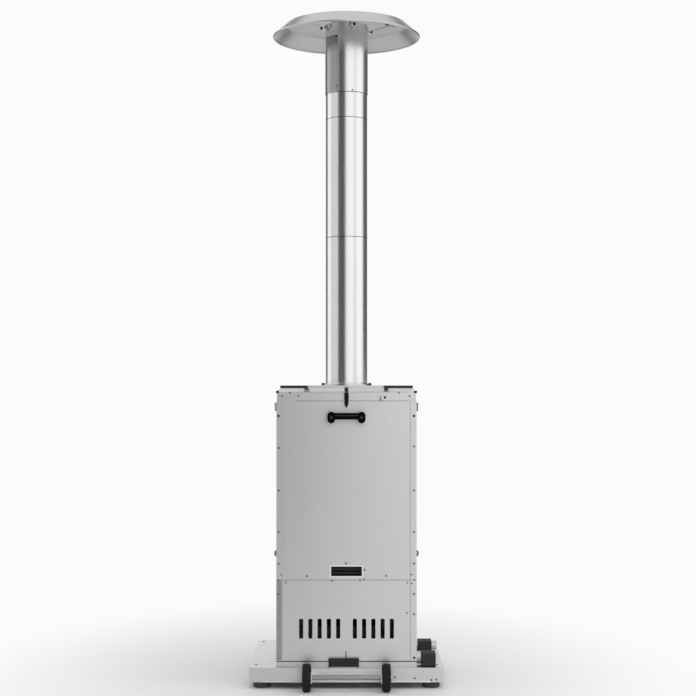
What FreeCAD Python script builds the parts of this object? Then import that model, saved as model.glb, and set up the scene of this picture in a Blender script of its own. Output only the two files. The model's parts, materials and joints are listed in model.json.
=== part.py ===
import FreeCAD, Part
import os
import re
import Sketcher

# Pellet patio heater: a square stainless cabinet on a wheeled base, with a tall flue and a hat.
# X points right and Y points away from the wheel side, which is the photographed side.
# Z points up from the floor, and the origin is under the middle of the whole heater.

doc = FreeCAD.newDocument("PelletPatioHeater")
sheet = doc.addObject("Spreadsheet::Sheet", "Dims")

SIZES = {
    # Base tray and feet
    "base_width": 630,
    "base_depth": 550,
    "base_height": 47,
    "base_gauge": 2,
    "base_corner": 4,
    "foot_height": 21,
    "foot_radius": 28.5,
    "foot_inset": 40.5,
    "foot_taper": 3,
    "stud_radius": 5,
    "stud_length": 14,
    "gusset_width": 90,
    # Wheels and axle
    "wheel_radius": 44,
    "wheel_width": 27,
    "wheel_track": 255,
    "tyre_shoulder": 4,
    "hub_radius": 34,
    "hub_boss_radius": 12,
    "hub_rim": 4,
    "hub_web": 6,
    "axle_offset": 48,
    "axle_height": 45,
    "axle_radius": 6,
    "spacer_radius": 8,
    "ear_gauge": 3,
    "ear_reach": 14,
    "ear_height": 35,
    "cap_radius": 10,
    "cap_depth": 5,
    "cap_wall": 1.5,
    "running_gap": 0.05,
    "fit_gap": 0.1,
    "side_gap": 0.5,
    "overcut": 1,
    # Bumper block on the front ledge of the tray
    "bumper_width": 98,
    "bumper_depth": 13.5,
    "bumper_height": 26,
    "bumper_offset": -9,
    "bumper_round": 3,
    "bumper_inset": 6,
    "bumper_plate": 2,
    "bumper_plate_height": 22,
    # Cabinet
    "cabinet_width": 455,
    "cabinet_depth": 455,
    "cabinet_height": 861,
    "front_margin": 17.5,
    "sheet_gauge": 1.5,
    "post_width": 20.5,
    "post_tongue": 12,
    "seam": 0.6,
    "kick_height": 16,
    "kick_gap": 3,
    "split_height": 280,
    "slot_width": 13.5,
    "slot_length": 64,
    "slot_corner": 3.5,
    "slot_low": 91,
    "slot_first": 27,
    "slot_pitch": 30,
    "slots_per_side": 5,
    # Bar handle and recessed grip on the wheel side
    "handle_length": 122,
    "handle_bar": 21,
    "handle_boss_width": 24,
    "handle_boss_height": 36.5,
    "handle_boss_drop": 4.3,
    "handle_boss_round": 11.5,
    "handle_level": 811.5,
    "handle_reach": 42,
    "handle_round": 7,
    "grip_width": 100,
    "grip_height": 31,
    "grip_level": 308.5,
    "grip_depth": 26,
    "grip_flange": 4,
    "grip_wall": 2,
    "grip_bar": 5,
    "grip_bar_offset": 6,
    # Top cover
    "band_height": 29,
    "band_inset": 1.5,
    "slope_rise": 12,
    "slope_run": 10,
    "plate_rise": 9,
    "plate_half": 126,
    "cover_flange": 14,
    "fill_width": 86,
    "fill_depth": 300,
    "fill_gap": 4,
    "fill_ledge": 10,
    "fill_wall": 2,
    "fill_pin_radius": 2,
    "fill_barrel_radius": 4.5,
    "fill_barrel_length": 60,
    "fill_post": 4,
    "fill_post_wall": 1,
    "fill_tab_width": 7,
    "fill_tab_length": 17,
    "fill_tab_gauge": 4,
    "left_tab_lean": 11,
    "left_tab_shift": 0,
    "right_tab_lean": 0,
    "right_tab_shift": 8,
    "lid_seat": 0.3,
    # Draw latch at the front of the cover
    "latch_width": 13,
    "latch_neck_width": 6,
    "latch_plate_width": 14,
    "latch_plate_gauge": 1.5,
    "latch_plate_height": 24,
    "latch_plate_level": 2,
    "latch_cheek": 1.2,
    "latch_gap": 0.3,
    "latch_pivot_reach": 7,
    "latch_pivot_level": 17,
    "latch_pin_radius": 1.5,
    "latch_lever_drop": 38,
    "latch_lever_gauge": 6,
    "latch_lever_crown": 5,
    "latch_shoulder": 13,
    "latch_taper": 26,
    "latch_tip_width": 5,
    "latch_arm_drop": 8,
    "latch_arm_radius": 1.2,
    "bail_strip": 1.8,
    "bail_depth": 2.4,
    "hook_width": 8,
    "hook_height": 8.5,
    "hook_gauge": 2.5,
    # Folding side handles
    "lift_level": 841,
    "lift_plate_width": 110,
    "lift_plate_height": 32,
    "lift_plate_gauge": 2.5,
    "lift_stand": 7.5,
    "lift_rod_radius": 3,
    "lift_span": 84,
    "lift_drop": 24,
    "lift_bar": 8,
    "lift_bar_gauge": 6,
    "lift_round": 3.5,
    "lift_eye_radius": 5.5,
    "lift_eye_length": 10,
    # Firebox, pellet hoppers and burn pot
    "firebox_width": 220,
    "firebox_front": 110,
    "firebox_low": 130,
    "firebox_high": 690,
    "firebox_gauge": 3,
    "ash_hole": 100,
    "feed_width": 180,
    "feed_low": 250,
    "feed_height": 46,
    "hopper_gauge": 1.2,
    "hopper_slope_top": 372,
    "hopper_stand": 14,
    "pot_low_half": 56,
    "pot_depth_half": 88,
    "pot_gauge": 4,
    "pot_taper": 24,
    "pot_slot": 8,
    "pot_slot_pitch": 20,
    "pot_slots": 5,
    # Fire door
    "door_width": 236,
    "door_height": 250,
    "door_level": 330,
    "door_gauge": 2,
    "door_thickness": 13,
    "door_lap": 15,
    "door_gap": 0.5,
    "door_pin_radius": 4,
    "door_barrel_radius": 8,
    "door_barrel_length": 26,
    "door_leaf_width": 20,
    "pull_length": 110,
    "pull_radius": 7,
    "pull_reach": 34,
    "pull_post_radius": 5,
    # Ash drawer
    "drawer_width": 196,
    "drawer_height": 112,
    "drawer_length": 320,
    "drawer_gauge": 1.5,
    "drawer_lap": 12,
    "lip_width": 90,
    "lip_reach": 20,
    "lip_drop": 12,
    "chamber_gauge": 2,
    "chamber_front": 15,
    # Air levers on the right wall
    "lever_radius": 22.5,
    "lever_width": 45,
    "lever_reach": 57,
    "lever_height": 44,
    "lever_round": 7,
    "shaft_cap_radius": 15,
    "front_cap_length": 3.5,
    "rear_cap_length": 20,
    "lever_level": 24,
    "lever_first": 40,
    "lever_pitch": 238.5,
    "collar_radius": 20,
    "collar_length": 15,
    "shaft_radius": 5,
    "damper_radius": 21,
    "damper_gauge": 2.5,
    "damper_hole_radius": 4.5,
    "damper_hole_reach": 13,
    "damper_holes": 4,
    # Flue
    "flue_radius": 70.75,
    "flue_gauge": 1.2,
    "flange_radius": 85,
    "flange_gauge": 4,
    "lower_length": 498,
    "middle_length": 403,
    "upper_length": 84,
    "head_radius": 72.6,
    "head_length": 237,
    "joint_gap": 0.8,
    "spigot_length": 30,
    "seam_strip_start": 24,
    "seam_strip_sweep": 49,
    "seam_strip_height": 190,
    "seam_strip_gauge": 0.8,
    "seam_strip_margin": 3.2,
    # Hat
    "hat_rim_radius": 247,
    "hat_fold_radius": 204,
    "hat_level": 1183,
    "hat_skirt_rise": 41,
    "hat_cone_rise": 45,
    "hat_gauge": 1.2,
    "hat_bead": 3,
    "strap_width": 20,
    "strap_gauge": 2.5,
    "strap_bend": 150,
    "strap_reach": 172,
    "strap_tab": 16,
    "strap_drop": 1,
    "strap_count": 4,
    "strap_angle": -73,
    "front_angle": 270,
}

# Places that follow from the sizes above.
PLACES = {
    "base_top": "foot_height + base_height",
    "base_front": "(axle_offset + wheel_radius - base_depth) / 2",
    "base_rear": "base_front + base_depth",
    "axle_y": "base_front - axle_offset",
    "wheel_inner": "(wheel_track - wheel_width) / 2",
    "wheel_outer": "(wheel_track + wheel_width) / 2",
    "ear_outer": "wheel_inner - side_gap",
    "ear_inner": "ear_outer - ear_gauge",
    "cab_half": "cabinet_width / 2",
    "cab_front": "base_front + front_margin",
    "cab_rear": "cab_front + cabinet_depth",
    "cab_top": "base_top + cabinet_height",
    "flue_y": "cab_front + cabinet_depth / 2",
    "panel_half": "cab_half - post_width - seam",
    "panel_front": "cab_front + post_width + seam",
    "panel_rear": "cab_rear - post_width - seam",
    "split_z": "base_top + split_height",
    "band_half": "cab_half - band_inset",
    "band_depth_half": "cabinet_depth / 2 - band_inset",
    "band_top": "cab_top + band_height",
    "slope_top": "band_top + slope_rise",
    "plate_top": "slope_top + plate_rise",
    "slope_half": "band_half - slope_run",
    "slope_depth_half": "band_depth_half - slope_run",
    "fill_inner": "plate_half + fill_gap",
    "fill_outer": "fill_inner + fill_width",
    "fill_near": "flue_y - slope_depth_half + side_gap",
    "fill_far": "fill_near + fill_depth",
    "fill_pin_y": "fill_far + fill_barrel_radius + side_gap",
    "fill_pin_z": "slope_top + fill_barrel_radius + side_gap",
    "firebox_half": "firebox_width / 2",
    "firebox_near": "flue_y - firebox_front",
    "firebox_bottom": "base_top + firebox_low",
    "firebox_top": "base_top + firebox_high",
    "feed_bottom": "base_top + feed_low",
    "feed_top": "feed_bottom + feed_height",
    "door_z": "base_top + door_level",
    "drawer_half": "drawer_width / 2",
    "drawer_bottom": "base_top + sheet_gauge + side_gap",
    "drawer_top": "drawer_bottom + drawer_height",
    "lever_z": "base_top + lever_level",
    "flue_inner": "flue_radius - flue_gauge",
    "riser_radius": "flue_inner - side_gap",
    "flange_top": "plate_top + flange_gauge",
    "lower_top": "flange_top + lower_length",
    "middle_top": "lower_top + middle_length",
    "upper_top": "middle_top + upper_length",
    "head_top": "upper_top + head_length",
    "hat_rim_z": "flange_top + hat_level",
    "hat_fold_z": "hat_rim_z + hat_skirt_rise",
    "hat_bead_flat": "hat_bead * tan(22.5)",
}

NAMES = set(SIZES) | set(PLACES)
WORD = re.compile(r"[a-z]\w*")
AXIS_TURNS = {
    "X": FreeCAD.Rotation(FreeCAD.Vector(0, 1, 0), 90),
    "Y": FreeCAD.Rotation(FreeCAD.Vector(1, 0, 0), -90),
    "Z": FreeCAD.Rotation(),
}
PARALLEL = 0.999
KEPT = []


def fill_sheet():
    """One row for each size, then one row for each place worked out from the sizes."""
    rows = [(name, str(value)) for name, value in SIZES.items()]
    rows += [(name, f"={text}") for name, text in PLACES.items()]
    for row, (name, text) in enumerate(rows, 1):
        sheet.set(f"A{row}", name)
        sheet.set(f"B{row}", text)
        sheet.setAlias(f"B{row}", name)
    doc.recompute()


def linked(text):
    """The text of a formula with each name of a size pointed at its cell."""
    return WORD.sub(lambda word: f"Dims.{word[0]}" if word[0] in NAMES else word[0], str(text))


def number(text):
    """The present value of a formula."""
    return float(sheet.evalExpression(str(text)))


def place(piece, x="0", y="0", z="0"):
    """Tie the position of a piece to the sheet."""
    for axis, text in zip("xyz", (x, y, z)):
        piece.setExpression(f"Placement.Base.{axis}", linked(text))
    return piece


def spin(piece, angle):
    """Tie the turn of a piece about the upright axis to the sheet, in degrees."""
    piece.setExpression("Placement.Rotation.Angle", linked(angle))
    return piece


def box(name, xs, ys, zs):
    """A block between a low and a high formula on each axis."""
    solid = doc.addObject("Part::Box", name)
    for side, (low, high) in zip(("Length", "Width", "Height"), (xs, ys, zs)):
        solid.setExpression(side, linked(f"({high}) - ({low})"))
    return place(solid, xs[0], ys[0], zs[0])


def rod(name, axis, start, length, radius):
    """A round bar along one axis from its start point."""
    solid = doc.addObject("Part::Cylinder", name)
    solid.setExpression("Radius", linked(radius))
    solid.setExpression("Height", linked(length))
    solid.Placement.Rotation = AXIS_TURNS[axis]
    return place(solid, *start)


def fuse(name, *pieces):
    whole = doc.addObject("Part::MultiFuse", name)
    whole.Shapes = list(pieces)
    return whole


def group(name, *pieces):
    """Separate solids that share one node."""
    whole = doc.addObject("Part::Compound", name)
    whole.Links = list(pieces)
    return whole


def cut(name, base, *tools):
    whole = doc.addObject("Part::Cut", name)
    whole.Base = base
    whole.Tool = tools[0] if len(tools) == 1 else fuse(f"{name}_tools", *tools)
    return whole


def tube(name, axis, start, length, radius, bore):
    return cut(name, rod(f"{name}_outer", axis, start, length, radius),
               rod(f"{name}_bore", axis, start, length, bore))


def keep(*pieces):
    """Mark finished sub-parts: each is written to a file named after its label."""
    KEPT.extend(pieces)


def sketch_on(body, plane, name):
    sketch = body.newObject("Sketcher::SketchObject", name)
    support = next(item for item in body.Origin.OriginFeatures if item.Role == plane)
    sketch.AttachmentSupport = [(support, "")]
    sketch.MapMode = "FlatFace"
    return sketch


def tie_point(sketch, edge, end, x, y):
    """Hold one end of an edge at formula distances from the sketch's origin."""
    for kind, text in (("DistanceX", x), ("DistanceY", y)):
        row = sketch.addConstraint(Sketcher.Constraint(kind, -1, 1, edge, end, number(text)))
        sketch.setExpression(f"Constraints[{row}]", linked(text))


def add_loop(sketch, points):
    """A closed chain of straight lines whose corners are formulas."""
    corners = [FreeCAD.Vector(number(x), number(y), 0) for x, y in points]
    first = sketch.GeometryCount
    count = len(corners)
    for index, corner in enumerate(corners):
        sketch.addGeometry(Part.LineSegment(corner, corners[(index + 1) % count]))
    for index, (x, y) in enumerate(points):
        following = first + (index + 1) % count
        sketch.addConstraint(Sketcher.Constraint("Coincident", first + index, 2, following, 1))
        tie_point(sketch, first + index, 1, x, y)


def add_circle(sketch, x, y, radius):
    centre = FreeCAD.Vector(number(x), number(y), 0)
    circle = sketch.addGeometry(Part.Circle(centre, FreeCAD.Vector(0, 0, 1), number(radius)))
    tie_point(sketch, circle, 3, x, y)
    row = sketch.addConstraint(Sketcher.Constraint("Radius", circle, number(radius)))
    sketch.setExpression(f"Constraints[{row}]", linked(radius))


def rectangle(xs, ys):
    return [(xs[0], ys[0]), (xs[1], ys[0]), (xs[1], ys[1]), (xs[0], ys[1])]


def pad(body, sketch, length, reverse=False):
    feature = body.newObject("PartDesign::Pad", f"{sketch.Name}_pad")
    feature.Profile = sketch
    feature.Reversed = reverse
    feature.setExpression("Length", linked(length))
    return feature


def pocket(body, sketch, length, reverse=False):
    """Cut the sketch into the body, and check that the cut took material away."""
    doc.recompute()
    before = body.Shape.Volume
    feature = body.newObject("PartDesign::Pocket", f"{sketch.Name}_pocket")
    feature.Profile = sketch
    feature.Reversed = reverse
    feature.setExpression("Length", linked(length))
    doc.recompute()
    if body.Shape.Volume >= before:
        raise RuntimeError(f"{feature.Name} cuts nothing")
    return feature


def prism(name, plane, points, length, at=("0", "0", "0"), reverse=False):
    """A body padded from one closed outline on an origin plane."""
    body = doc.addObject("PartDesign::Body", name)
    sketch = sketch_on(body, plane, f"{name}_outline")
    add_loop(sketch, points)
    pad(body, sketch, length, reverse)
    return place(body, *at)


def turned(name, points, axis, at=("0", "0", "0")):
    """A body turned about Z (points are radius, height) or about X (points are x, radius)."""
    body = doc.addObject("PartDesign::Body", name)
    sketch = sketch_on(body, "XZ_Plane", f"{name}_profile")
    add_loop(sketch, points)
    feature = body.newObject("PartDesign::Revolution", f"{name}_turn")
    feature.Profile = sketch
    feature.ReferenceAxis = (sketch, ["V_Axis" if axis == "Z" else "H_Axis"])
    feature.Angle = 360
    return place(body, *at)


def soften(body, direction, radius):
    """Round the straight edges of a body that run along one direction."""
    doc.recompute()
    base = body.Tip
    along = FreeCAD.Vector(*direction)
    names = []
    for index, edge in enumerate(base.Shape.Edges, 1):
        straight = edge.Curve.TypeId == "Part::GeomLine"
        if straight and abs(edge.tangentAt(edge.FirstParameter).dot(along)) > PARALLEL:
            names.append(f"Edge{index}")
    feature = body.newObject("PartDesign::Fillet", f"{base.Name}_round")
    feature.Base = (base, names)
    feature.setExpression("Radius", linked(radius))
    return body


def make_base_tray():
    """Folded tray, open below, with a gusset in each corner that takes a foot's stud."""
    half = "base_width / 2"
    body = doc.addObject("PartDesign::Body", "base_tray")
    walls = sketch_on(body, "XY_Plane", "tray_walls")
    add_loop(walls, rectangle((f"-{half}", half), ("base_front", "base_rear")))
    pad(body, walls, "base_height")
    soften(body, (0, 0, 1), "base_corner")
    hollow = sketch_on(body, "XY_Plane", "tray_hollow")
    add_loop(hollow, rectangle((f"base_gauge - {half}", f"{half} - base_gauge"),
                               ("base_front + base_gauge", "base_rear - base_gauge")))
    pocket(body, hollow, "base_height - base_gauge", reverse=True)
    gussets = sketch_on(body, "XY_Plane", "tray_gussets")
    for side, edge, inward in foot_corners():
        add_loop(gussets, rectangle((f"{side} * ({half} - base_gauge)", f"{side} * ({half} - gusset_width)"),
                                    (f"{edge} + {inward} * base_gauge", f"{edge} + {inward} * gusset_width")))
        add_circle(gussets, *foot_centre(side, edge, inward), "stud_radius + fit_gap")
    pad(body, gussets, "base_gauge")
    keep(place(body, z="foot_height"))


def foot_corners():
    edges = (("base_front", 1), ("base_rear", -1))
    return [(side, edge, inward) for side in (-1, 1) for edge, inward in edges]


def foot_centre(side, edge, inward):
    return f"{side} * (base_width / 2 - foot_inset)", f"{edge} + {inward} * foot_inset"


def make_feet():
    profile = [
        ("0", "0"),
        ("foot_radius - foot_taper", "0"),
        ("foot_radius", "foot_taper"),
        ("foot_radius", "foot_height"),
        ("stud_radius", "foot_height"),
        ("stud_radius", "foot_height + base_gauge + stud_length"),
        ("0", "foot_height + base_gauge + stud_length"),
    ]
    feet = []
    for index, corner in enumerate(foot_corners()):
        feet.append(turned(f"foot_{index}", profile, "Z", at=(*foot_centre(*corner), "0")))
    keep(group("rubber_feet", *feet))


def make_axle():
    """Bracket on the tray's front wall, fixed axle, spacer between the ears and a cap at each end."""
    tip = "axle_y - ear_reach"
    back = "base_front - ear_gauge"
    blank = prism("axle_bracket_blank", "XY_Plane", [
        ("-ear_outer", tip), ("-ear_inner", tip), ("-ear_inner", back), ("ear_inner", back),
        ("ear_inner", tip), ("ear_outer", tip), ("ear_outer", "base_front"), ("-ear_outer", "base_front"),
    ], "ear_height", at=("0", "0", "axle_height - ear_height / 2"))
    hole = rod("axle_bracket_hole", "X", ("-ear_outer", "axle_y", "axle_height"), "2 * ear_outer",
               "axle_radius + fit_gap")
    end = "(wheel_outer + side_gap + cap_depth - cap_wall)"
    start = (f"-{end}", "axle_y", "axle_height")
    keep(cut("axle_bracket", blank, hole))
    keep(rod("axle", "X", start, f"2 * {end}", "axle_radius"))
    keep(tube("axle_spacer", "X", ("-ear_inner", "axle_y", "axle_height"), "2 * ear_inner",
              "spacer_radius", "axle_radius + fit_gap"))
    caps = []
    for side in (-1, 1):
        bore = "axle_radius + fit_gap"
        caps.append(turned(f"axle_cap_{side + 1}", [
            ("0", bore), ("0", "cap_radius"), (f"{side} * (cap_depth - cap_wall)", "cap_radius"),
            (f"{side} * cap_depth", "cap_radius - 2 * cap_wall"), (f"{side} * cap_depth", "0"),
            (f"{side} * (cap_depth - cap_wall)", "0"), (f"{side} * (cap_depth - cap_wall)", bore),
        ], "X", at=(f"{side} * (wheel_outer + side_gap)", "axle_y", "axle_height")))
    keep(group("axle_caps", *caps))


def make_wheel(side, label):
    """Moulded hub with a sunk web, and a tyre with chamfered shoulders."""
    at = (f"{side} * wheel_track / 2", "axle_y", "axle_height")
    face = "wheel_width / 2"
    rim = "(wheel_width / 2 - cap_wall)"
    inner = "hub_radius - hub_rim"
    keep(turned(f"{label}_hub", [
        (f"-{face}", "axle_radius + running_gap"), (face, "axle_radius + running_gap"),
        (face, "hub_boss_radius"), ("hub_web / 2", "hub_boss_radius"), ("hub_web / 2", inner),
        (rim, inner), (rim, "hub_radius"), (f"-{rim}", "hub_radius"), (f"-{rim}", inner),
        ("-hub_web / 2", inner), ("-hub_web / 2", "hub_boss_radius"), (f"-{face}", "hub_boss_radius"),
    ], "X", at=at))
    shoulder = "wheel_radius - tyre_shoulder"
    keep(turned(f"{label}_tyre", [
        (f"-{face}", "hub_radius + fit_gap"), (face, "hub_radius + fit_gap"), (face, shoulder),
        (f"{face} - tyre_shoulder", "wheel_radius"), (f"tyre_shoulder - {face}", "wheel_radius"),
        (f"-{face}", shoulder),
    ], "X", at=at))


def make_bumper():
    """Rubber block on the tray's front ledge, held by an angle plate against the cabinet."""
    back = "(cab_front - bumper_plate)"
    near = f"({back} - bumper_depth)"
    foot = "(base_top + bumper_plate)"
    ends = ("bumper_offset - bumper_width / 2", "bumper_offset + bumper_width / 2")
    keep(prism("bumper_bracket", "YZ_Plane", [
        ("cab_front", "base_top"), ("cab_front", f"{foot} + bumper_plate_height"),
        (back, f"{foot} + bumper_plate_height"), (back, foot), (f"{near} + bumper_round", foot),
        (f"{near} + bumper_round", "base_top"),
    ], "bumper_width - 2 * bumper_inset", at=(f"{ends[0]} + bumper_inset", "0", "0")))
    block = prism("bumper_pad", "XY_Plane", rectangle(ends, (near, back)), "bumper_height",
                  at=("0", "0", foot))
    keep(soften(block, (0, 0, 1), "bumper_round"))


def post_outline(across, inward):
    """Section of a corner post: two double legs with a single tongue behind each panel."""
    wide = "post_width"
    tip = "(post_width + post_tongue)"
    two = "2 * sheet_gauge"
    points = [("0", "0"), (wide, "0"), (wide, "sheet_gauge"), (tip, "sheet_gauge"), (tip, two), (two, two),
              (two, tip), ("sheet_gauge", tip), ("sheet_gauge", wide), ("0", wide)]
    return [(f"{across} * {x}", f"{inward} * {y}") for x, y in points]


def make_posts():
    """Four folded corner posts."""
    for end, edge, inward in (("front", "cab_front", 1), ("rear", "cab_rear", -1)):
        for side, hand in ((-1, "left"), (1, "right")):
            keep(prism(f"{end}_{hand}_post", "XY_Plane", post_outline(-side, inward), "cabinet_height",
                       at=(f"{side} * cab_half", edge, "base_top")))


def make_floor():
    """Cabinet floor with an upturned kick strip at the front."""
    inset = "(2 * sheet_gauge + fit_gap)"
    top = ("base_top", "base_top + sheet_gauge")
    reach = "panel_half - post_tongue - seam"
    keep(fuse("floor_plate",
              box("floor_sheet", (f"{inset} - cab_half", f"cab_half - {inset}"),
                  (f"cab_front + {inset}", f"cab_rear - {inset}"), top),
              box("floor_lip", (f"-({reach})", reach), ("cab_front", f"cab_front + 2 * {inset}"), top),
              box("kick_strip", ("-panel_half", "panel_half"), ("cab_front", "cab_front + sheet_gauge"),
                  ("base_top", "base_top + kick_height"))))


def make_vent_panel():
    """Lower front panel with two rows of upright slots."""
    skin = box("front_vent_sheet", ("-panel_half", "panel_half"), ("cab_front", "cab_front + sheet_gauge"),
               ("base_top + kick_height + kick_gap", "split_z - seam / 2"))
    slots = []
    for side, hand in ((-1, "left"), (1, "right")):
        for index in range(int(number("slots_per_side"))):
            middle = f"{side} * (slot_first + {index} * slot_pitch)"
            slot = prism(f"{hand}_slot_{index}", "XZ_Plane", rectangle(
                (f"{middle} - slot_width / 2", f"{middle} + slot_width / 2"),
                ("base_top + slot_low", "base_top + slot_low + slot_length")), "3 * sheet_gauge",
                at=("0", "cab_front + 2 * sheet_gauge", "0"))
            slots.append(soften(slot, (0, 1, 0), "slot_corner"))
    keep(cut("front_vent_panel", skin, *slots))


def make_panels():
    """Flat skins between the posts, with their openings."""
    keep(cut("front_upper_panel",
             box("front_upper_sheet", ("-panel_half", "panel_half"), ("cab_front", "cab_front + sheet_gauge"),
                 ("split_z + seam / 2", "cab_top")),
             box("grip_opening", ("-grip_width / 2", "grip_width / 2"),
                 ("cab_front - sheet_gauge", "cab_front + 2 * sheet_gauge"),
                 ("base_top + grip_level - grip_height / 2", "base_top + grip_level + grip_height / 2"))))
    depth = ("panel_front", "panel_rear")
    height = ("base_top", "cab_top")
    keep(box("left_side_panel", ("-cab_half", "sheet_gauge - cab_half"), depth, height))
    shaft_holes = []
    for index in range(2):
        shaft_holes.append(rod(f"shaft_hole_{index}", "X",
                               ("cab_half - 2 * sheet_gauge", lever_y(index), "lever_z"), "3 * sheet_gauge",
                               "shaft_radius + fit_gap"))
    right_sheet = box("right_side_sheet", ("cab_half - sheet_gauge", "cab_half"), depth, height)
    keep(cut("right_side_panel", right_sheet, *shaft_holes))
    through = ("cab_rear - 2 * sheet_gauge", "cab_rear + sheet_gauge")
    door_half = "(door_width / 2 - door_lap)"
    drawer_gap = "(drawer_half + side_gap)"
    keep(cut("rear_panel",
             box("rear_sheet", ("-panel_half", "panel_half"), ("cab_rear - sheet_gauge", "cab_rear"), height),
             box("door_opening", (f"-{door_half}", door_half), through,
                 ("door_z - door_height / 2 + door_lap", "door_z + door_height / 2 - door_lap")),
             box("drawer_opening", (f"-{drawer_gap}", drawer_gap), through,
                 ("base_top - sheet_gauge", "drawer_top + side_gap"))))


def lever_y(index):
    return f"cab_front + lever_first + {index} * lever_pitch"


def make_tilt_handle():
    """Bar between two drop-shaped end bosses, for pulling the heater back onto its wheels."""
    level = "(base_top + handle_level)"
    boss_level = f"({level} - handle_boss_drop)"
    end = "handle_length / 2"
    pieces = []
    for side in (-1, 1):
        boss = prism(f"handle_boss_{side + 1}", "XZ_Plane", rectangle(
            (f"{side} * ({end} - handle_boss_width)", f"{side} * {end}"),
            (f"{boss_level} - handle_boss_height / 2", f"{boss_level} + handle_boss_height / 2")),
            "handle_reach", at=("0", "cab_front", "0"))
        pieces.append(soften(boss, (0, 1, 0), "handle_boss_round"))
    near = "cab_front - handle_reach"
    bar = prism("handle_bar_blank", "YZ_Plane", rectangle(
        (near, f"{near} + handle_bar"), (f"{level} - handle_bar / 2", f"{level} + handle_bar / 2")),
        "handle_length - handle_boss_width", at=(f"handle_boss_width / 2 - {end}", "0", "0"))
    pieces.append(soften(bar, (1, 0, 0), "handle_round"))
    keep(fuse("tilt_handle", *pieces))


def make_grip_cup():
    """Recessed lifting grip: a cup let into the upper panel, two finger bars and a steel bezel."""
    level = "(base_top + grip_level)"
    half = "(grip_width / 2 - fit_gap)"
    rise = "(grip_height / 2 - fit_gap)"
    front = ("cab_front - sheet_gauge", "cab_front")
    far = "cab_front + grip_depth"

    def spread(extra):
        return ((f"-({half} + {extra})", f"{half} + {extra}"),
                (f"{level} - {rise} - ({extra})", f"{level} + {rise} + {extra}"))

    bezel_x, bezel_z = spread("grip_flange")
    hole_x, hole_z = spread("fit_gap")
    keep(cut("grip_bezel", box("bezel_plate", bezel_x, front, bezel_z),
             box("bezel_hole", hole_x, ("cab_front - 2 * sheet_gauge", "cab_front + sheet_gauge"), hole_z)))
    cup_x, cup_z = spread("0")
    hollow_x, hollow_z = spread("-grip_wall")
    shell = cut("grip_shell", box("grip_cup_block", cup_x, (front[0], far), cup_z),
                box("grip_hollow", hollow_x, ("cab_front - 2 * sheet_gauge", f"{far} - grip_wall"), hollow_z))
    bars = []
    for side in (-1, 1):
        middle = f"{level} + {side} * grip_bar_offset"
        bars.append(box(f"grip_finger_bar_{side + 1}", hollow_x,
                        ("cab_front + grip_bar", "cab_front + 2 * grip_bar"),
                        (f"{middle} - grip_bar / 2", f"{middle} + grip_bar / 2")))
    keep(fuse("grip_cup", shell, *bars))


def frustum(name, low, high, base, rise):
    """A block that narrows upwards; low and high are half widths across X and Y at its two ends."""
    solid = doc.addObject("Part::Wedge", name)
    ties = {"Xmin": f"-({low[0]})", "Xmax": low[0], "Zmin": f"-({low[1]})", "Zmax": low[1],
            "X2min": f"-({high[0]})", "X2max": high[0], "Z2min": f"-({high[1]})", "Z2max": high[1],
            "Ymin": "0", "Ymax": rise}
    for side, text in ties.items():
        solid.setExpression(side, linked(text))
    solid.Placement.Rotation = FreeCAD.Rotation(FreeCAD.Vector(1, 0, 0), 90)
    return place(solid, "0", "flue_y", base)


def centred(name, half_x, half_y, zs):
    """A block centred on the flue."""
    return box(name, (f"-({half_x})", half_x), (f"flue_y - ({half_y})", f"flue_y + {half_y}"), zs)


def make_cover_band():
    """Upright band on top of the cabinet, with a flange turned inwards."""
    ledge = "sheet_gauge - cover_flange"
    keep(cut("cover_band",
             centred("band_block", "band_half", "band_depth_half", ("cab_top", "band_top")),
             centred("band_hollow", "band_half - sheet_gauge", "band_depth_half - sheet_gauge",
                     ("cab_top + sheet_gauge", "band_top")),
             centred("band_opening", f"band_half - 2 * sheet_gauge + {ledge}",
                     f"band_depth_half - 2 * sheet_gauge + {ledge}", ("cab_top", "band_top"))))


def fill_span(side, inset):
    return sorted_span(side, f"fill_inner + ({inset})", f"fill_outer - ({inset})")


def sorted_span(side, inner, outer):
    """Low and high X formulas of something that lies on one side of the middle."""
    if side > 0:
        return inner, outer
    return f"-({outer})", f"-({inner})"


def make_cover_lid():
    """Sloped lid with a raised plate for the flue and a fill opening over each hopper."""
    raised = centred("lid_plate", "plate_half", "slope_depth_half", ("slope_top - sheet_gauge", "plate_top"))
    hollow = centred("lid_plate_hollow", "plate_half - sheet_gauge", "slope_depth_half - sheet_gauge",
                     ("slope_top - 2 * sheet_gauge", "plate_top - sheet_gauge"))
    slope = frustum("lid_slope", ("band_half", "band_depth_half"), ("slope_half", "slope_depth_half"),
                    "band_top", "slope_rise")
    inside = frustum("lid_slope_hollow", ("band_half - sheet_gauge", "band_depth_half - sheet_gauge"),
                     ("slope_half - sheet_gauge", "slope_depth_half - sheet_gauge"), "band_top",
                     "slope_rise - sheet_gauge")
    flue_hole = rod("lid_flue_hole", "Z", ("0", "flue_y", "band_top"), "plate_top - band_top + overcut",
                    "riser_radius + side_gap")
    tools = [hollow, inside, flue_hole]
    for side in (-1, 1):
        tools.append(box(f"fill_opening_{side + 1}", fill_span(side, "fill_ledge"),
                         ("flue_y - feed_width / 2 + fill_ledge", "fill_far - fill_ledge"),
                         ("slope_top - 2 * sheet_gauge", "slope_top + sheet_gauge")))
    keep(cut("cover_lid", fuse("lid_blank", slope, raised), *tools))


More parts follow.
